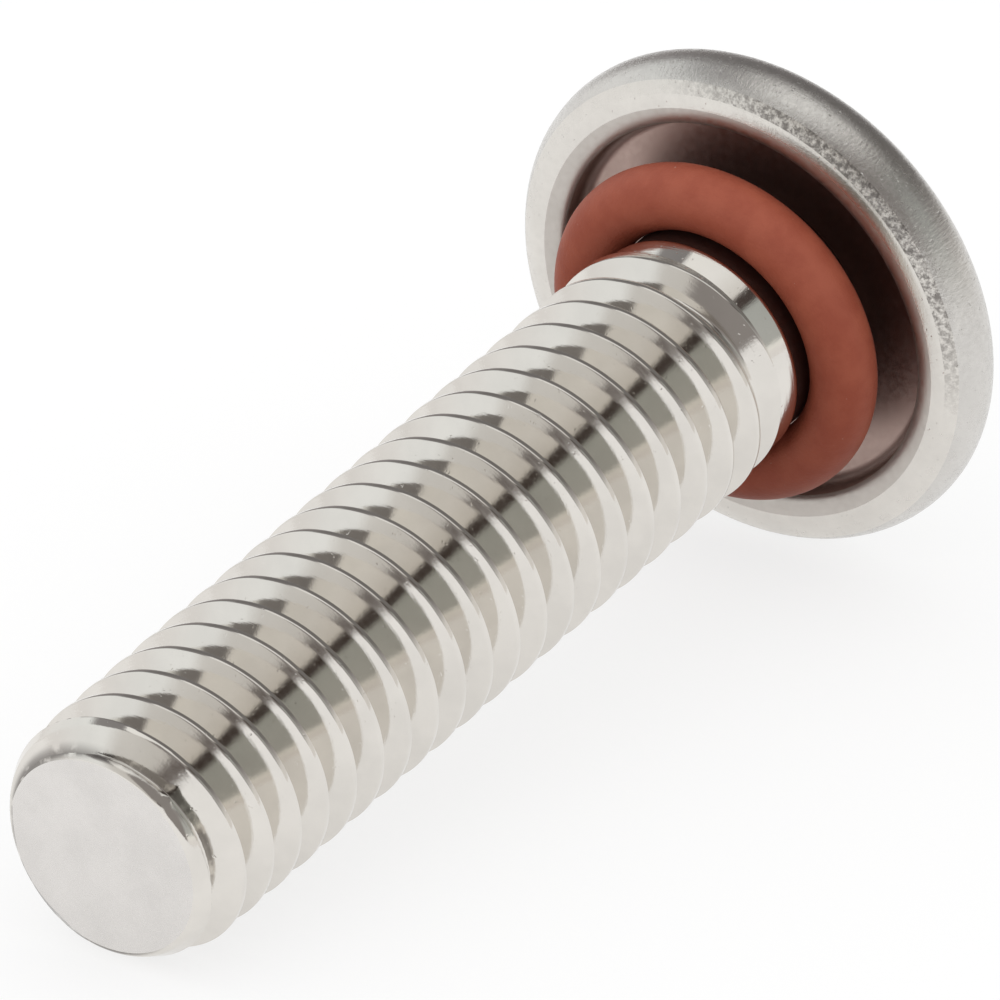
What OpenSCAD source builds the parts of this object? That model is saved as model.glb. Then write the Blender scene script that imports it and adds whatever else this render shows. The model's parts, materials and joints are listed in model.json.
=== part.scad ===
// Self-sealing pan head machine screw, M4 x 16, with a silicone ring under its head.
// The screw is drawn upright on its own axis, with the bearing face at z = 0,
// the tip below it and the head above, and is then laid on its side on the floor.

/* [Thread] */
// Diameter over the thread crests
thread_d = 3.92; // [3.8:0.01:4.1]
// Distance from one crest to the next
thread_pitch = 0.7; // [0.5:0.05:0.8]
// Turns over which the groove fades out below the collar
runout_turns = 0.75; // [0.5:0.25:1.5]
// Where the groove starts round the axis, in degrees
thread_phase = 58; // [0:1:359]

/* [Shank] */
// Length from the bearing face to the tip
screw_len = 16.45; // [12:0.05:25]
// Diameter of the flat end face
tip_d = 3.28; // [2.4:0.02:3.4]
// Length of the tapered tip
tip_len = 0.6; // [0.4:0.05:1.2]
// Rounding at the edge of the end face
tip_edge_r = 0.2; // [0.05:0.05:0.3]
// Diameter of the plain collar at its upper end, under the sealing ring
collar_d = 3.68; // [3.55:0.01:3.8]
// Diameter of the relief at the collar's foot, behind the last crest
relief_d = 3.4; // [3.2:0.02:3.5]
// Length of the collar, with the relief
collar_len = 0.62; // [0.2:0.02:0.8]
// Rounding at the upper end of the collar
collar_edge_r = 0.06; // [0.02:0.01:0.08]
// Diameter of the neck that holds the sealing ring
neck_d = 3.5; // [3.2:0.05:3.5]
// Length of the neck, from the bearing face down to the collar
neck_len = 1.13; // [1:0.01:1.5]

/* [Head] */
// Largest diameter of the head
head_d = 8.04; // [7.6:0.02:8.4]
// Height of the largest diameter above the bearing face
head_belt = 0.6; // [0.4:0.05:0.8]
// How far the side draws in from the belt down to the rim's outer edge
side_in = 0.18; // [0.1:0.01:0.25]
// Height of the rim's outer edge above the bearing face
rim_rise = 0.12; // [0.05:0.01:0.2]
// Width of the flat ring that bears on the work
rim_flat_w = 0.16; // [0.1:0.01:0.2]
// Radius of the shoulder between the side and the crown
shoulder_r = 0.56; // [0.3:0.02:0.8]
// Radius of the domed crown
crown_r = 6.5; // [6:0.1:9]

/* [Sealing groove] */
// Diameter of the groove's outer wall
groove_d = 6.24; // [6.1:0.02:6.4]
// Depth of the groove above the bearing face
groove_depth = 0.55; // [0.4:0.05:0.7]
// Rounding where the groove's roof meets its outer wall
groove_fillet = 0.2; // [0.05:0.05:0.3]
// Rounding where the groove's roof meets the neck
neck_fillet = 0.15; // [0.05:0.05:0.25]
// Width of the rounded lip between the groove and the bearing face
lip_w = 0.3; // [0.1:0.02:0.32]
// Height of that lip
lip_h = 0.12; // [0.04:0.02:0.16]

/* [Drive] */
// Width of the cross recess over its wings, at the top of the crown
recess_w = 4.4; // [3.6:0.1:5]
// Depth of the cross recess below the top of the crown
recess_depth = 2.2; // [1.6:0.05:2.4]
// Width of one wing
wing_w = 0.95; // [0.7:0.05:1.2]
// Slope of the wings' outer edges to the axis
wing_slope = 27; // [20:1:30]
// Width of the square core between the wings, at the top of the crown
core_w = 2.1; // [1.6:0.1:2.4]

/* [Sealing ring] */
// Thickness of the ring's round section
ring_section = 1; // [0.8:0.01:1.05]
// Distance from the bearing face down to the middle of the ring
ring_drop = 0.57; // [0.5:0.01:0.6]
// Clearance between the ring and the neck it grips
ring_gap = 0.01; // [0.005:0.005:0.03]

/* [Hidden] */
$fn = 120;

arc_steps = 12;
groove_steps = 24;
over = 0.05;
relief_step = 0.05;

// Metric thread form: 60 degree flanks, with crest and depth in proportion to the pitch
flank = tan(30);
crest_flat = thread_pitch / 8;
thread_depth = 0.6134 * thread_pitch;
root_flat = thread_pitch - crest_flat - 2 * thread_depth * flank;
thread_r = thread_d / 2;
root_r = thread_r - thread_depth;
thread_top = -neck_len - collar_len;

tip_r = tip_d / 2;
tip_z = -screw_len;
tip_top = tip_z + tip_len;
tip_slope = atan2(thread_r - tip_r, tip_len);
tip_edge_back = tip_edge_r * tan((90 - tip_slope) / 2);
collar_r = collar_d / 2;
relief_r = relief_d / 2;
neck_r = neck_d / 2;
groove_r = groove_d / 2;
flat_r = groove_r + lip_w + rim_flat_w;
head_r = head_d / 2;

// Barrel curve of the side, from the rim's outer edge up to the belt
side_h = head_belt - rim_rise;
side_r = (pow(side_h, 2) + pow(side_in, 2)) / (2 * side_in);
side_x = head_r - side_r;
side_start = -asin(side_h / side_r);

// The shoulder is tangent to the belt and to the crown
shoulder_x = head_r - shoulder_r;
crown_tilt = asin(shoulder_x / (crown_r - shoulder_r));
crown_z = head_belt - (crown_r - shoulder_r) * cos(crown_tilt);
head_h = crown_z + crown_r;

// The ring grips the neck
ring_r = ring_section / 2;
ring_x = neck_r + ring_gap + ring_r;
ring_z = -ring_drop;

// The floor line touches the first crest above the tip's taper and the barrel of the head
low_crest = tip_z + thread_pitch * (0.5 - thread_phase / 360) - crest_flat / 2;
crest_turn = ceil((tip_top - crest_flat - low_crest) / thread_pitch);
rest_crest = max(tip_top, low_crest + thread_pitch * crest_turn);
reach = [head_belt - rest_crest, side_x - thread_r];
lie_tilt = atan2(reach[1], reach[0]) + asin(side_r / norm(reach));
tip_x = (tip_z + tip_edge_r) * cos(lie_tilt) - (tip_r - tip_edge_back) * sin(lie_tilt) - tip_edge_r;
crown_x = crown_z * cos(lie_tilt) + crown_r;

// Points along a circle, centre c, from angle a to angle b
function arc(c, r, a, b, n = arc_steps) =
    [for (i = [0 : n]) let (t = a + (b - a) * i / n) [c[0] + r * cos(t), c[1] + r * sin(t)]];

// Points along a quarter of an ellipse, centre c, half-axes rx and rz
function quarter(c, rx, rz, a, b, n = arc_steps) =
    [for (i = [0 : n]) let (t = a + (b - a) * i / n) [c[0] + rx * cos(t), c[1] + rz * sin(t)]];

// Half section of the tip: flat end, rounded edge and taper
function tip_outline() = concat(
    [[0, tip_z]],
    arc([tip_r - tip_edge_back, tip_z + tip_edge_r], tip_edge_r, -90, -tip_slope, 6),
    [[thread_r, tip_top]]
);

// Half section of the thread's end, the relief, the flared collar and the neck
function neck_outline() = concat(
    [[thread_r, thread_top], [relief_r, thread_top + relief_step]],
    arc([collar_r - collar_edge_r, -neck_len - collar_edge_r], collar_edge_r, 0, 90, 4),
    [[neck_r, -neck_len]]
);

// Half section of the groove, its lip and the flat bearing ring
function groove_outline() = concat(
    arc([neck_r + neck_fillet, groove_depth - neck_fillet], neck_fillet, 180, 90, 4),
    arc([groove_r - groove_fillet, groove_depth - groove_fillet], groove_fillet, 90, 0, 6),
    quarter([groove_r + lip_w, lip_h], lip_w, lip_h, 180, 270, 6),
    [[flat_r, 0]]
);

// Half section of the rim's sloped edge, the side, the shoulder and the crown
function head_outline() = concat(
    arc([side_x, head_belt], side_r, side_start, 0),
    arc([shoulder_x, head_belt], shoulder_r, 0, 90 - crown_tilt),
    arc([0, crown_z], crown_r, 90 - crown_tilt, 90)
);

// Helical V groove, one section of four points for each step
module thread_groove() {
    out_r = thread_r + over;
    low_turn = -1;
    turns = (thread_top - tip_z) / thread_pitch;
    first = low_turn * groove_steps;
    last = ceil(turns * groove_steps);
    fade = runout_turns * groove_steps;
    function depth_r(i) = root_r + (out_r - over / 5 - root_r) * max(0, (i - last + fade) / fade);
    function half_w(r) = root_flat / 2 + (r - root_r) * flank;
    function section(i) =
        let (
            t = thread_phase + 360 * i / groove_steps,
            z = tip_z + thread_pitch * i / groove_steps,
            r = depth_r(i),
            edge = [[r, -half_w(r)], [r, half_w(r)], [out_r, half_w(out_r)], [out_r, -half_w(out_r)]]
        )
        [for (e = edge) [e[0] * cos(t), e[0] * sin(t), z + e[1]]];
    n = last - first;
    side = [for (i = [0 : n - 1]) for (j = [0 : 3])
        let (k = (j + 1) % 4) [4 * i + j, 4 * i + 4 + j, 4 * i + 4 + k, 4 * i + k]];
    polyhedron(
        points = [for (i = [first : last]) each section(i)],
        faces = concat([[0, 1, 2, 3]], side, [[4 * n + 3, 4 * n + 2, 4 * n + 1, 4 * n]])
    );
}

// Cross recess: two crossed wings that narrow downwards, and a tapered square core
module cross_recess() {
    top_x = recess_w / 2;
    low_x = top_x - recess_depth * tan(wing_slope);
    floor_z = head_h - recess_depth;
    for (turn = [0, 90]) rotate(turn)
        rotate([90, 0, 0]) linear_extrude(wing_w, center = true)
            polygon([
                [-low_x, floor_z], [low_x, floor_z],
                [top_x, head_h], [top_x, head_h + over], [-top_x, head_h + over], [-top_x, head_h]
            ]);
    translate([0, 0, floor_z])
        cylinder(r1 = wing_w / 2, r2 = core_w / 2, h = recess_depth + over);
}

// Lays the upright screw on its side, with the head towards +X
module lie_down() {
    floor_z = rest_crest * sin(lie_tilt) - thread_r * cos(lie_tilt);
    translate([-(tip_x + crown_x) / 2, 0, -floor_z])
        rotate([0, -lie_tilt, 0])
            rotate([0, 90, 0])
                children();
}

module screw() {
    color("gainsboro") lie_down() difference() {
        rotate_extrude() polygon(concat(
            tip_outline(), neck_outline(), groove_outline(), head_outline()
        ));
        thread_groove();
        cross_recess();
    }
}

module o_ring() {
    color("indianred") lie_down() rotate_extrude()
        translate([ring_x, ring_z]) circle(ring_r);
}

screw();
o_ring();
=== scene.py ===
"""Self-sealing pan head machine screw, lying on a pale floor under soft studio light."""
import json
import math

import bmesh
import bpy
from mathutils import Matrix, Vector, noise


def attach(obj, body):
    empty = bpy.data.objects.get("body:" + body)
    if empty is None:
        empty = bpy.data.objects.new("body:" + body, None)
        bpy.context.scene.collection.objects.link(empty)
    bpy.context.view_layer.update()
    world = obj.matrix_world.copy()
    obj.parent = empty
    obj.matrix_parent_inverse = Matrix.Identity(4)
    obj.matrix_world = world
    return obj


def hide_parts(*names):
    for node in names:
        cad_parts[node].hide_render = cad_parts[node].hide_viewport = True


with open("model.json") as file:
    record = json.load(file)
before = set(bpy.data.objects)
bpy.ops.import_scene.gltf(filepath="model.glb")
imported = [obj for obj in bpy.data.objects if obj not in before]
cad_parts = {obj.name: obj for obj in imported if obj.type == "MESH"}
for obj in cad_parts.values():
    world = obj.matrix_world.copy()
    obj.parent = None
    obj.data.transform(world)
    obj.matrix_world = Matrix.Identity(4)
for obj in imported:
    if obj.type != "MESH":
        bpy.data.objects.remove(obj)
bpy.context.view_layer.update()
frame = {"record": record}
MM = 0.001

# Sizes in mm, repeated from the part's source
THREAD_R = 1.96
PITCH = 0.7
THREAD_DEPTH = 0.6134 * PITCH
THREAD_PHASE = 58.0
RUNOUT_TURNS = 0.75
TIP_Z = -16.45
TIP_R = 1.64
TIP_TOP = TIP_Z + 0.6
TIP_EDGE_R = 0.2
COLLAR_R = 1.84
COLLAR_EDGE_R = 0.06
RELIEF_R = 1.7
RELIEF_STEP = 0.05
NECK_R = 1.75
NECK_LEN = 1.13
THREAD_TOP = -1.75
HEAD_R = 4.02
HEAD_BELT = 0.6
SIDE_IN = 0.18
RIM_RISE = 0.12
RIM_FLAT_W = 0.16
SHOULDER_R = 0.56
CROWN_R = 6.5
GROOVE_R = 3.12
GROOVE_DEPTH = 0.55
GROOVE_FILLET = 0.2
NECK_FILLET = 0.15
LIP_W = 0.3
LIP_H = 0.12
RING_R = 0.5
RING_X = 2.26
RING_Z = -0.57
RECESS_W = 4.4
RECESS_DEPTH = 2.2
WING_W = 0.95
WING_SLOPE = math.radians(27)
CORE_W = 2.1

# Small forms that only the scene has, in mm
WANDER = 0.006
BURR_ANGLE = math.radians(223)
BURR_RADIUS = 1.7
BURR_UP = 0.15
BURR_HEIGHT = 0.06
BURR_SPREAD = 0.09

# Steps round the axis, and rows down the tip
STEPS = 144
TIP_ROWS = 56

# The screw's own frame comes from the bearing face that the record states
bearing = next(m for m in frame["record"]["mounts"] if m["name"] == "bearing_face")
AXIS = -Vector(bearing["axis"]).normalized()
SIDE = Vector((0, 1, 0))
DOWN = SIDE.cross(AXIS)
CENTRE = Vector((bearing["pos_m"][0], 0, bearing["pos_m"][2]))


def place(r, t, w):
    """Point at radius r, angle t from straight down, and height w along the axis, all in mm."""
    return CENTRE + MM * (AXIS * w + DOWN * (r * math.cos(t)) + SIDE * (r * math.sin(t)))


def arc(cx, cy, r, a, b, n):
    """Points on a circle from angle a to angle b, in degrees."""
    angles = [math.radians(a + (b - a) * i / n) for i in range(n + 1)]
    return [(cx + r * math.cos(t), cy + r * math.sin(t)) for t in angles]


def soft_ramp(x, low, high):
    """Ramp from 0 to 1 with a rounded foot of half-width low and a rounded top of half-width high."""
    if x <= -low:
        return 0.0
    if x < low:
        return (x + low) ** 2 / (4 * low)
    if x <= 1 - high:
        return x
    if x < 1 + high:
        return 1 - (1 + high - x) ** 2 / (4 * high)
    return 1.0


# Thread form over one pitch: u is 0 on the crest and 0.5 at the root
CREST_HALF = 1 / 16
FLANK = 0.6134 * math.tan(math.radians(30))
CREST_SOFT = 0.02
ROOT_SOFT = 0.05
HALF_FORM = [0, 0.0554, 0.0625, 0.0696, 0.08, 0.235, 0.388, 0.399, 0.4167, 0.4344]
FORM = [-u for u in HALF_FORM[:0:-1]] + HALF_FORM + [0.5]
GROOVE_TURNS = (THREAD_TOP - TIP_Z) / PITCH


def thread_drop(u):
    """How deep the form lies below the crest, as a share of the thread's depth."""
    return soft_ramp((abs(u) - CREST_HALF) / FLANK, CREST_SOFT, ROOT_SOFT)


def thread_depth(groove):
    """Depth of the groove after so many turns from the tip. It fades out below the collar."""
    return THREAD_DEPTH * min(1, max(0, (GROOVE_TURNS - groove) / RUNOUT_TURNS))


def thread_r(t, w):
    """Radius of the thread at angle t and height w."""
    turns = (w - TIP_Z) / PITCH
    start = t / (2 * math.pi) - THREAD_PHASE / 360
    groove = start + round(turns - start)
    return THREAD_R - thread_depth(groove) * thread_drop(0.5 - abs(turns - groove))


TIP_SLOPE = math.atan2(THREAD_R - TIP_R, TIP_TOP - TIP_Z)
TIP_BACK = TIP_EDGE_R * math.tan((math.pi / 2 - TIP_SLOPE) / 2)
TIP_FLAT_R = TIP_R - TIP_BACK


def tip_r(w):
    """Radius of the rounded and tapered tip at height w."""
    up = TIP_Z + TIP_EDGE_R - w
    if up > TIP_EDGE_R * math.sin(TIP_SLOPE):
        up = min(up, TIP_EDGE_R)
        return TIP_FLAT_R + math.sqrt(max(TIP_EDGE_R ** 2 - up ** 2, 0))
    return THREAD_R - (TIP_TOP - w) * math.tan(TIP_SLOPE)


def add_thread(verts, faces):
    """Helical sheet of the thread, cut level where the tip's taper and the relief begin."""
    rows = len(FORM)
    start = -STEPS
    stop = math.ceil((GROOVE_TURNS + 2) * STEPS)
    for i in range(start, stop + 1):
        t = 2 * math.pi * i / STEPS
        groove = i / STEPS - THREAD_PHASE / 360
        for u in FORM:
            turn = groove + 0.5 + u
            wander = noise.noise(Vector((3 * math.cos(t), 3 * math.sin(t), 0.9 * turn)))
            w = TIP_Z + PITCH * turn + WANDER * wander
            r = THREAD_R - thread_depth(groove + (1 if u > 0 else 0)) * thread_drop(u)
            if w < TIP_TOP + WANDER:
                w = TIP_TOP
                r = thread_r(t, w)
            elif w > THREAD_TOP - WANDER:
                w = THREAD_TOP
                r = thread_r(t, w)
            verts.append(place(r, t, w))
    for i in range(stop - start):
        for j in range(rows):
            if j + 1 < rows:
                c = i * rows + j + 1
            else:
                c = (i + STEPS) * rows
            d = c + rows
            if d < len(verts):
                faces.append((i * rows + j, (i + 1) * rows + j, d, c))


def add_rings(verts, faces, outline, end):
    """Rings through the outline's points, closed by a fan at height end. A radius may depend on the angle."""
    base = len(verts)
    for r, w in outline:
        for k in range(STEPS):
            t = 2 * math.pi * k / STEPS
            verts.append(place(r(t, w) if callable(r) else r, t, w))
    for n in range(len(outline) - 1):
        for k in range(STEPS):
            m = (k + 1) % STEPS
            low = base + n * STEPS
            high = low + STEPS
            faces.append((low + k, low + m, high + m, high + k))
    verts.append(place(0, 0, end))
    last = base + (len(outline) - 1) * STEPS
    for k in range(STEPS):
        faces.append((last + k, last + (k + 1) % STEPS, len(verts) - 1))


SIDE_H = HEAD_BELT - RIM_RISE
SIDE_R = (SIDE_H ** 2 + SIDE_IN ** 2) / (2 * SIDE_IN)
SIDE_X = HEAD_R - SIDE_R
SIDE_START = -math.degrees(math.asin(SIDE_H / SIDE_R))
SHOULDER_X = HEAD_R - SHOULDER_R
CROWN_TILT = math.asin(SHOULDER_X / (CROWN_R - SHOULDER_R))
CROWN_Z = HEAD_BELT - (CROWN_R - SHOULDER_R) * math.cos(CROWN_TILT)
HEAD_H = CROWN_Z + CROWN_R
RIM_R = HEAD_R - SIDE_IN
FLAT_R = GROOVE_R + LIP_W + RIM_FLAT_W


def head_outline():
    """Half section from the thread's last crest, through the ring groove, to the crown."""
    edge = COLLAR_EDGE_R
    foot = THREAD_TOP + RELIEF_STEP
    flare = 0.2788
    points = [(thread_r, THREAD_TOP), (RELIEF_R + 0.02, foot - 0.01), (RELIEF_R, foot)]
    # Rows up the flared collar keep its reflections apart from those of its rounded edge
    points += [(RELIEF_R + flare * rise, foot + rise) for rise in (0.02, 0.25, 0.47)]
    points += arc(COLLAR_R - edge, -NECK_LEN - edge, edge, -12, 90, 6)
    points += [(NECK_R + 0.01, -NECK_LEN), (NECK_R, -NECK_LEN + 0.01), (NECK_R, -0.5)]
    points += arc(NECK_R + NECK_FILLET, GROOVE_DEPTH - NECK_FILLET, NECK_FILLET, 180, 90, 6)
    points += arc(GROOVE_R - GROOVE_FILLET, GROOVE_DEPTH - GROOVE_FILLET, GROOVE_FILLET, 90, 0, 8)
    for i in range(11):
        t = math.radians(180 + 90 * i / 10)
        points.append((GROOVE_R + LIP_W + LIP_W * math.cos(t), LIP_H + LIP_H * math.sin(t)))
    # The rim's slope bends up a little towards its outer edge
    for i in range(8):
        s = i / 8
        points.append((FLAT_R + (RIM_R - FLAT_R) * s, RIM_RISE * (0.6 * s + 0.4 * s ** 2)))
    # Rounded corner at the rim's outer edge
    corner_r = 0.024
    points += arc(RIM_R - 0.022, RIM_RISE + 0.016, corner_r, -55, SIDE_START, 4)
    points += arc(SIDE_X, HEAD_BELT, SIDE_R, SIDE_START + 3, 0, 12)
    crown_start = 90 - math.degrees(CROWN_TILT)
    points += arc(SHOULDER_X, HEAD_BELT, SHOULDER_R, 0, crown_start, 12)[1:]
    points += arc(0, CROWN_Z, CROWN_R, crown_start, 90, 20)[1:-1]
    return points


def taper_r(t, w):
    """Radius of the tip where the groove cuts its taper, with a small burr where the groove starts."""
    away = math.hypot((t - BURR_ANGLE) * BURR_RADIUS, w - TIP_Z - BURR_UP)
    return min(thread_r(t, w), tip_r(w)) + BURR_HEIGHT * math.exp(-(away / BURR_SPREAD) ** 2)


def tip_outline():
    """The tip, from the thread's first full crest down the taper and across the end face."""
    drop = TIP_Z - TIP_TOP
    points = [(taper_r, TIP_TOP + drop * i / TIP_ROWS) for i in range(TIP_ROWS + 1)]
    points += [(TIP_FLAT_R * k, TIP_Z) for k in (0.97, 0.9, 0.8, 0.7, 0.6, 0.5, 0.4, 0.3, 0.2, 0.1)]
    return points


def recess_cutter():
    """Cross recess: two crossed wings that narrow downwards, and a tapered core."""
    top = RECESS_W / 2
    low = top - RECESS_DEPTH * math.tan(WING_SLOPE)
    over = 0.1
    floor = HEAD_H - RECESS_DEPTH
    section = [(-low, floor), (low, floor), (top, HEAD_H), (top, HEAD_H + over), (-top, HEAD_H + over),
               (-top, HEAD_H)]
    objects = []
    for turn in (0, math.pi / 2):
        bm = bmesh.new()
        rings = []
        for half in (-WING_W / 2, WING_W / 2):
            ring = []
            for x, w in section:
                across = math.hypot(x, half)
                ring.append(bm.verts.new(place(across, math.atan2(half, x) + turn, w)))
            rings.append(ring)
        bm.faces.new(rings[0])
        bm.faces.new(rings[1][::-1])
        for k in range(len(section)):
            m = (k + 1) % len(section)
            bm.faces.new((rings[0][k], rings[1][k], rings[1][m], rings[0][m]))
        objects.append(finish_cutter(bm, "wing"))
    bm = bmesh.new()
    rings = []
    for r, w in ((WING_W / 2 + 0.004, floor + 0.003), (CORE_W / 2, HEAD_H + over)):
        rings.append([bm.verts.new(place(r, 2 * math.pi * (k + 0.5) / 48, w)) for k in range(48)])
    bm.faces.new(rings[0])
    bm.faces.new(rings[1][::-1])
    for k in range(48):
        m = (k + 1) % 48
        bm.faces.new((rings[0][k], rings[1][k], rings[1][m], rings[0][m]))
    objects.append(finish_cutter(bm, "core"))
    return objects


def finish_cutter(bm, name):
    """Object from the mesh, with its faces turned outwards."""
    bmesh.ops.recalc_face_normals(bm, faces=bm.faces)
    mesh = bpy.data.meshes.new(name)
    bm.to_mesh(mesh)
    bm.free()
    obj = bpy.data.objects.new(name, mesh)
    bpy.context.collection.objects.link(obj)
    return obj


def new_object(name, verts, faces):
    """Closed mesh object from points and faces, with doubled points merged."""
    mesh = bpy.data.meshes.new(name)
    mesh.from_pydata(verts, [], faces)
    bm = bmesh.new()
    bm.from_mesh(mesh)
    bmesh.ops.remove_doubles(bm, verts=bm.verts, dist=2e-7)
    bmesh.ops.dissolve_degenerate(bm, edges=bm.edges, dist=1e-8)
    bmesh.ops.recalc_face_normals(bm, faces=bm.faces)
    bm.to_mesh(mesh)
    bm.free()
    obj = bpy.data.objects.new(name, mesh)
    bpy.context.collection.objects.link(obj)
    return obj


def cut(obj, cutters):
    """Takes the cutters out of the object and deletes them."""
    bpy.context.view_layer.objects.active = obj
    for cutter in cutters:
        mod = obj.modifiers.new("cut", "BOOLEAN")
        mod.operation = "DIFFERENCE"
        mod.solver = "EXACT"
        mod.object = cutter
        bpy.ops.object.modifier_apply(modifier=mod.name)
    for cutter in cutters:
        bpy.data.objects.remove(cutter, do_unlink=True)


def build_screw():
    verts = []
    faces = []
    add_thread(verts, faces)
    add_rings(verts, faces, tip_outline(), TIP_Z)
    add_rings(verts, faces, head_outline(), HEAD_H)
    obj = new_object("screw_body", verts, faces)
    cut(obj, recess_cutter())
    mesh = obj.data
    mesh.polygons.foreach_set("use_smooth", [True] * len(mesh.polygons))
    mesh.set_sharp_from_angle(angle=math.radians(38))
    return obj


def build_ring():
    """Silicone ring with a round section."""
    verts = []
    faces = []
    around = 160
    section = 56
    for i in range(around):
        t = 2 * math.pi * i / around
        for j in range(section):
            s = 2 * math.pi * j / section
            verts.append(place(RING_X + RING_R * math.cos(s), t, RING_Z + RING_R * math.sin(s)))
    for i in range(around):
        for j in range(section):
            a = i * section + j
            b = i * section + (j + 1) % section
            c = ((i + 1) % around) * section + (j + 1) % section
            d = ((i + 1) % around) * section + j
            faces.append((a, b, c, d))
    obj = new_object("seal_ring", verts, faces)
    obj.data.polygons.foreach_set("use_smooth", [True] * len(obj.data.polygons))
    return obj


class Tree:
    """Small helpers for a node tree."""

    def __init__(self, tree):
        self.tree = tree
        tree.nodes.clear()

    def node(self, kind, **props):
        n = self.tree.nodes.new(kind)
        for key, value in props.items():
            setattr(n, key, value)
        return n

    def put(self, socket, value):
        if isinstance(value, bpy.types.NodeSocket):
            self.tree.links.new(value, socket)
        else:
            socket.default_value = value

    def math(self, op, a, b=0.0):
        n = self.node("ShaderNodeMath", operation=op)
        self.put(n.inputs[0], a)
        self.put(n.inputs[1], b)
        return n.outputs[0]

    def vmath(self, op, a, b):
        n = self.node("ShaderNodeVectorMath", operation=op)
        self.put(n.inputs[0], a)
        self.put(n.inputs[1], b)
        return n.outputs["Value"] if op == "DOT_PRODUCT" else n.outputs["Vector"]

    def step(self, value, low, high, out_low=0.0, out_high=1.0):
        n = self.node("ShaderNodeMapRange", interpolation_type="SMOOTHSTEP")
        self.put(n.inputs["Value"], value)
        n.inputs["From Min"].default_value = low
        n.inputs["From Max"].default_value = high
        n.inputs["To Min"].default_value = out_low
        n.inputs["To Max"].default_value = out_high
        return n.outputs["Result"]

    def mix_color(self, factor, a, b):
        n = self.node("ShaderNodeMix", data_type="RGBA")
        self.put(n.inputs["Factor"], factor)
        self.put(n.inputs[6], a)
        self.put(n.inputs[7], b)
        return n.outputs[2]

    def noise(self, vector, scale, detail=3.0, rough=0.55):
        n = self.node("ShaderNodeTexNoise")
        self.put(n.inputs["Vector"], vector)
        n.inputs["Scale"].default_value = scale
        n.inputs["Detail"].default_value = detail
        n.inputs["Roughness"].default_value = rough
        return n.outputs["Fac"]

    def scaled(self, vector, scale):
        n = self.node("ShaderNodeVectorMath", operation="MULTIPLY")
        self.put(n.inputs[0], vector)
        n.inputs[1].default_value = scale
        return n.outputs["Vector"]


def own_frame(tree):
    """Object coordinates in mm in the screw's own frame: down, sideways and along the axis."""
    coord = tree.node("ShaderNodeTexCoord").outputs["Object"]
    offset = tree.vmath("SUBTRACT", coord, tuple(CENTRE))
    parts = [tree.vmath("DOT_PRODUCT", offset, tuple(d / MM)) for d in (DOWN, SIDE, AXIS)]
    n = tree.node("ShaderNodeCombineXYZ")
    for socket, value in zip(n.inputs, parts):
        tree.put(socket, value)
    return n.outputs["Vector"], parts


def principled(tree):
    """Principled shader, linked to the material's surface."""
    shader = tree.node("ShaderNodeBsdfPrincipled")
    out = tree.node("ShaderNodeOutputMaterial")
    tree.tree.links.new(shader.outputs[0], out.inputs["Surface"])
    return shader


def bump(tree, height, distance):
    """Normal of a fine relief with the given height pattern."""
    n = tree.node("ShaderNodeBump")
    n.inputs["Strength"].default_value = 1.0
    n.inputs["Distance"].default_value = distance
    tree.put(n.inputs["Height"], height)
    return n.outputs["Normal"]


def scuffs_and_painted_shade(tree, own, parts):
    """Mask of fine dark scuffs on one side of the head, fixed to the screw. Darkening only that side is
    painted shade as well as wear.
    """
    down, side, along = parts
    scuffed_shaded_side = (-0.727, -0.687)
    squares = tree.math("ADD", tree.math("MULTIPLY", down, down), tree.math("MULTIPLY", side, side))
    across_down = tree.math("MULTIPLY", down, scuffed_shaded_side[0])
    across = tree.math("ADD", across_down, tree.math("MULTIPLY", side, scuffed_shaded_side[1]))
    facing = tree.math("DIVIDE", across, tree.math("SQRT", squares))
    spots = tree.step(tree.noise(own, 13.0, 5.0, 0.7), 0.36, 0.62)
    # The patch on one side is painted shade; the spots within it are scuffs.
    patch = tree.math("MULTIPLY", tree.step(facing, 0.45, 0.95), tree.step(along, 1.1, 0.6))
    return tree.math("MULTIPLY", patch, spots)


def painted_groove_shade(tree, own, parts):
    """Mask of painted shade in the thread's groove beside the end face, where the groove's flank lies in
    shadow.
    """
    down, side, along = parts
    turn = tree.math("MULTIPLY", tree.math("ARCTAN2", side, down), -0.5 / math.pi)
    turns = tree.math("ADD", tree.math("MULTIPLY", along, 1 / PITCH), turn)
    share = tree.math("FRACT", tree.math("ADD", turns, THREAD_PHASE / 360 - TIP_Z / PITCH + 0.5))
    off = tree.math("ABSOLUTE", tree.math("SUBTRACT", share, 0.5))
    band = tree.math("MULTIPLY", tree.step(off, 0.3, 0.2), tree.step(along, TIP_Z + 0.38, TIP_Z + 0.24))
    return tree.math("MULTIPLY", band, tree.step(tree.noise(own, 3.0, 4.0), 0.3, 0.5))


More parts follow.
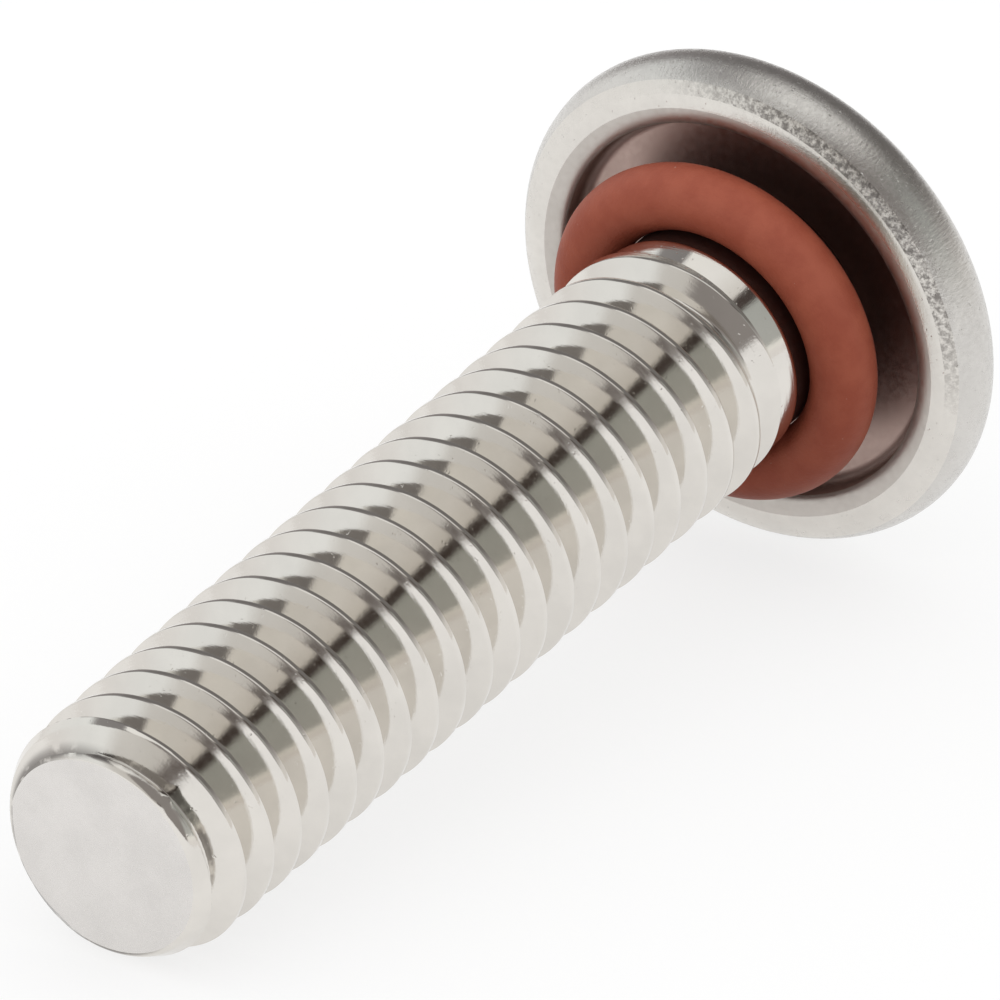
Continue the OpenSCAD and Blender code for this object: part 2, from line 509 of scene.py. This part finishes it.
def steel(name, color, rough, rough_spread, streak, scratch, pit, marks=None, depth=0.0):
    """Bright stainless steel with streaks round the axis, scratches, pits and darker marks, which are in part
    painted shade.
    """
    mat = bpy.data.materials.new(name)
    mat.use_nodes = True
    tree = Tree(mat.node_tree)
    shader = principled(tree)
    shader.inputs["Metallic"].default_value = 1.0
    own, parts = own_frame(tree)
    cloud = tree.noise(own, 1.3, 4.0)
    fine = tree.noise(own, 9.0, 3.0)
    tone = tree.mix_color(
        tree.step(cloud, 0.3, 0.7),
        tuple(c * 0.94 for c in color) + (1,),
        tuple(color) + (1,),
    )
    if marks is not None:
        # Where the marks lie the tone darkens: painted shade in the groove by the tip, and painted shade with
        # scuffs on one side of the head.
        marks_and_painted_shade = tree.math("MULTIPLY", marks(tree, own, parts), depth)
        tone = tree.mix_color(marks_and_painted_shade, tone, (0.17, 0.155, 0.145, 1))
    tree.put(shader.inputs["Base Color"], tone)
    tree.put(shader.inputs["Roughness"], tree.step(fine, 0.3, 0.7, rough, rough + rough_spread))
    height = tree.math("MULTIPLY", tree.noise(tree.scaled(own, (0.8, 0.8, 26.0)), 1.0, 4.0), streak)
    lines = tree.noise(tree.scaled(own, (14.0, 14.0, 3.0)), 1.6, 5.0, 0.7)
    height = tree.math("ADD", height, tree.math("MULTIPLY", lines, scratch))
    pits = tree.step(tree.noise(own, 12.0, 2.0), 0.66, 0.78, 0.0, -pit)
    height = tree.math("ADD", height, pits)
    tree.put(shader.inputs["Normal"], bump(tree, height, 0.02 * MM))
    return mat


def silicone(name):
    """Matte orange-red silicone with faint mottling and a few pale specks."""
    mat = bpy.data.materials.new(name)
    mat.use_nodes = True
    tree = Tree(mat.node_tree)
    shader = principled(tree)
    own, parts = own_frame(tree)
    mottle = tree.noise(own, 2.2, 4.0)
    tone = tree.mix_color(tree.step(mottle, 0.3, 0.7), (0.39, 0.085, 0.045, 1), (0.45, 0.11, 0.06, 1))
    specks = tree.step(tree.noise(own, 16.0, 1.0), 0.8, 0.84)
    tone = tree.mix_color(specks, tone, (0.62, 0.4, 0.33, 1))
    tree.put(shader.inputs["Base Color"], tone)
    shader.inputs["Roughness"].default_value = 0.55
    shader.inputs["Specular IOR Level"].default_value = 0.35
    height = tree.noise(own, 22.0, 3.0)
    tree.put(shader.inputs["Normal"], bump(tree, height, 0.008 * MM))
    return mat


def face_zone(obj, zones):
    """Gives each face the first material whose zone holds its middle, by radius and height in mm."""
    mesh = obj.data
    slots = []
    for poly in mesh.polygons:
        offset = (poly.center - CENTRE) / MM
        w = offset.dot(AXIS)
        r = (offset - AXIS * w).length
        slots.append(next(i for i, test in enumerate(zones) if test(r, w)))
    mesh.polygons.foreach_set("material_index", slots)


BRIGHT = (0.755, 0.725, 0.68)
# Name, colour, roughness and its spread, streaks, scratches, pits, then dark marks and their depth; the marks
# are in part painted shade
FINISHES = [
    ("steel_end", (0.76, 0.735, 0.71), 0.22, 0.1, 0.0, 0.02, 0.02),
    # The thread's dark marks by the tip are painted shade in the groove.
    ("steel_thread", BRIGHT, 0.06, 0.05, 0.06, 0.03, 0.06, painted_groove_shade, 0.85),
    # The neck's dark red-brown colour is painted shade of the crevice under the ring.
    ("steel_neck", (0.2, 0.13, 0.115), 0.5, 0.1, 0.1, 0.1, 0.0),
    # The groove's dim red-brown colour is painted shade, tinted as a painted reflection of the red ring.
    ("steel_groove", (0.48, 0.36, 0.32), 0.34, 0.08, 0.05, 0.02, 0.0),
    ("steel_lip", (0.62, 0.58, 0.54), 0.36, 0.1, 0.1, 0.1, 0.1),
    ("steel_rim", BRIGHT, 0.12, 0.12, 0.1, 0.2, 0.3),
    # The edge and the head take scuffs together with painted shade on one side.
    ("steel_edge", BRIGHT, 0.14, 0.14, 0.1, 0.3, 0.3, scuffs_and_painted_shade, 0.9),
    ("steel_head", (0.68, 0.66, 0.63), 0.15, 0.14, 0.1, 0.4, 0.3, scuffs_and_painted_shade, 0.15),
]
# Where each finish lies, in the same order
ZONES = [
    lambda r, w: w < TIP_Z + 0.01,
    lambda r, w: w < -NECK_LEN - 0.03,
    lambda r, w: r < NECK_R + 0.1 and w < GROOVE_DEPTH,
    lambda r, w: r < GROOVE_R + 0.001 and w < GROOVE_DEPTH + 0.05,
    lambda r, w: r < GROOVE_R + LIP_W - 0.02 and w < LIP_H,
    lambda r, w: r < FLAT_R + 0.05 and w < RIM_RISE,
    lambda r, w: r < RIM_R and w < RIM_RISE,
    lambda r, w: True,
]

screw = build_screw()
for finish in FINISHES:
    screw.data.materials.append(steel(*finish))
face_zone(screw, ZONES)
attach(screw, "root")
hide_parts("screw")

ring = build_ring()
ring.data.materials.append(silicone("silicone_ring"))
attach(ring, "root")
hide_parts("o_ring")


FLOOR_COLOR = (0.3, 0.3, 0.3, 1)
FLOOR_GLOW = 0.74


def build_floor():
    """White sheet that the screw lies on. It shows its own shadow in a lifted white."""
    reach = 0.2
    mesh = bpy.data.meshes.new("floor")
    corners = [(-reach, -reach, 0), (reach, -reach, 0), (reach, reach, 0), (-reach, reach, 0)]
    mesh.from_pydata(corners, [], [(0, 1, 2, 3)])
    obj = bpy.data.objects.new("floor", mesh)
    bpy.context.collection.objects.link(obj)
    mat = bpy.data.materials.new("floor_white")
    mat.use_nodes = True
    tree = Tree(mat.node_tree)
    diffuse = tree.node("ShaderNodeBsdfDiffuse")
    diffuse.inputs["Color"].default_value = FLOOR_COLOR
    path = tree.node("ShaderNodeLightPath")
    seen = tree.math("MAXIMUM", path.outputs["Is Camera Ray"], path.outputs["Is Glossy Ray"])
    seen = tree.math("MAXIMUM", seen, path.outputs["Is Transmission Ray"])
    glow = tree.node("ShaderNodeEmission")
    glow.inputs["Color"].default_value = (1, 1, 1, 1)
    tree.put(glow.inputs["Strength"], tree.math("MULTIPLY", seen, FLOOR_GLOW))
    both = tree.node("ShaderNodeAddShader")
    tree.tree.links.new(diffuse.outputs[0], both.inputs[0])
    tree.tree.links.new(glow.outputs[0], both.inputs[1])
    out = tree.node("ShaderNodeOutputMaterial")
    tree.tree.links.new(both.outputs[0], out.inputs["Surface"])
    mesh.materials.append(mat)


# Light round the screw, by angle from straight up towards -Y (minus) and +Y (plus), in degrees
TENT = [
    (-180, (0.8, 0.78, 0.76)),
    (-95, (0.9, 0.88, 0.86)),
    (-86, (0.92, 0.9, 0.88)),
    (-82, (1, 1, 0.95)),
    (-79, (0.5, 0.51, 0.49)),
    (-46, (0.46, 0.48, 0.46)),
    (-42, (0.07, 0.055, 0.05)),
    (-33, (0.08, 0.065, 0.06)),
    (-31, (0.8, 0.78, 0.75)),
    (-8, (0.97, 0.97, 0.96)),
    (20, (1, 1, 0.98)),
    (22, (0.26, 0.25, 0.25)),
    (44, (0.3, 0.29, 0.29)),
    (50, (0.97, 1, 1)),
    (75, (0.97, 0.98, 0.98)),
    (95, (0.88, 0.86, 0.85)),
    (180, (0.8, 0.78, 0.76)),
]
# The same beyond the head, where the studio is dim
FAR_WALL = [
    (-180, (0.8, 0.78, 0.76)),
    (-95, (0.85, 0.83, 0.8)),
    (-78, (0.8, 0.78, 0.75)),
    (-66, (0.42, 0.4, 0.39)),
    (-50, (0.2, 0.19, 0.18)),
    (50, (0.2, 0.19, 0.19)),
    (75, (0.32, 0.3, 0.3)),
    (120, (0.5, 0.47, 0.45)),
    (180, (0.8, 0.78, 0.76)),
]
# Low down in front of the tip, by distance towards -Y (minus) and +Y (plus) from straight ahead
TIP_WALL = [
    (-1, (0.85, 0.83, 0.8)),
    (-0.22, (0.7, 0.7, 0.68)),
    (-0.16, (0.12, 0.1, 0.09)),
    (-0.07, (0.12, 0.1, 0.09)),
    (-0.03, (0.66, 0.64, 0.61)),
    (0.33, (0.74, 0.73, 0.71)),
    (0.45, (0.95, 0.97, 0.97)),
    (1, (0.95, 0.97, 0.97)),
]
# The dim end of the studio, in a fixed direction from the screw
DIM_WAY = (-0.7377, -0.5061, 0.4466)
DIM_END = (0.3, 0.28, 0.27, 1)


def light_ramp(tree, share, table):
    """Colour ramp over a full turn, from a table of angles and colours."""
    ramp = tree.node("ShaderNodeValToRGB")
    ramp.color_ramp.interpolation = "LINEAR"
    stops = ramp.color_ramp.elements
    while len(stops) < len(table):
        stops.new(0.5)
    for stop, (degrees, color) in zip(stops, table):
        stop.position = degrees / 360 + 0.5
        stop.color = color + (1,)
    tree.put(ramp.inputs["Fac"], share)
    return ramp.outputs["Color"]


def build_world():
    """White studio: a strip light above the screw, dark gaps on both sides of it, pale walls below."""
    world = bpy.data.worlds.new("studio")
    bpy.context.scene.world = world
    world.use_nodes = True
    tree = Tree(world.node_tree)
    direction = tree.node("ShaderNodeTexCoord").outputs["Generated"]
    n = tree.node("ShaderNodeSeparateXYZ")
    tree.put(n.inputs[0], direction)
    x, y, z = n.outputs
    angle = tree.math("ARCTAN2", y, z)
    share = tree.math("ADD", tree.math("MULTIPLY", angle, 0.5 / math.pi), 0.5)
    metal_sees = tree.mix_color(
        tree.step(x, 0.28, 0.5),
        light_ramp(tree, share, TENT),
        light_ramp(tree, share, FAR_WALL),
    )
    ahead = tree.math("ADD", tree.math("MULTIPLY", y, 0.5), 0.5)
    tip_wall = light_ramp(tree, ahead, [(180 * reach, color) for reach, color in TIP_WALL])
    metal_sees = tree.mix_color(tree.step(x, -0.6, -0.85), metal_sees, tip_wall)
    dim = tree.step(tree.vmath("DOT_PRODUCT", direction, DIM_WAY), 0.79, 0.86)
    metal_sees = tree.mix_color(dim, metal_sees, DIM_END)
    path = tree.node("ShaderNodeLightPath")
    soft = tree.mix_color(path.outputs["Is Diffuse Ray"], metal_sees, (0.92, 0.92, 0.92, 1))
    shown = tree.mix_color(path.outputs["Is Camera Ray"], soft, (1, 1, 1, 1))
    back = tree.node("ShaderNodeBackground")
    tree.put(back.inputs["Color"], shown)
    out = tree.node("ShaderNodeOutputWorld")
    tree.tree.links.new(back.outputs[0], out.inputs["Surface"])


def build_camera():
    """Long lens from the tip's side, matched to the photograph's view."""
    data = bpy.data.cameras.new("camera")
    obj = bpy.data.objects.new("camera", data)
    bpy.context.collection.objects.link(obj)
    right = Vector((0.56302436, -0.8264403, 0.0))
    up = Vector((0.36674758, 0.24985207, 0.89614182))
    back = right.cross(up)
    spot = Vector((-249.4464, -170.5504, 153.384)) * MM
    rotation = Matrix((right, up, back)).transposed()
    obj.matrix_world = Matrix.Translation(spot) @ rotation.to_4x4()
    data.sensor_width = 36.0
    data.lens = 835.42
    data.clip_start = 0.01
    data.clip_end = 10.0
    bpy.context.scene.camera = obj


build_floor()
build_world()
build_camera()
bpy.context.scene.view_settings.view_transform = "Standard"
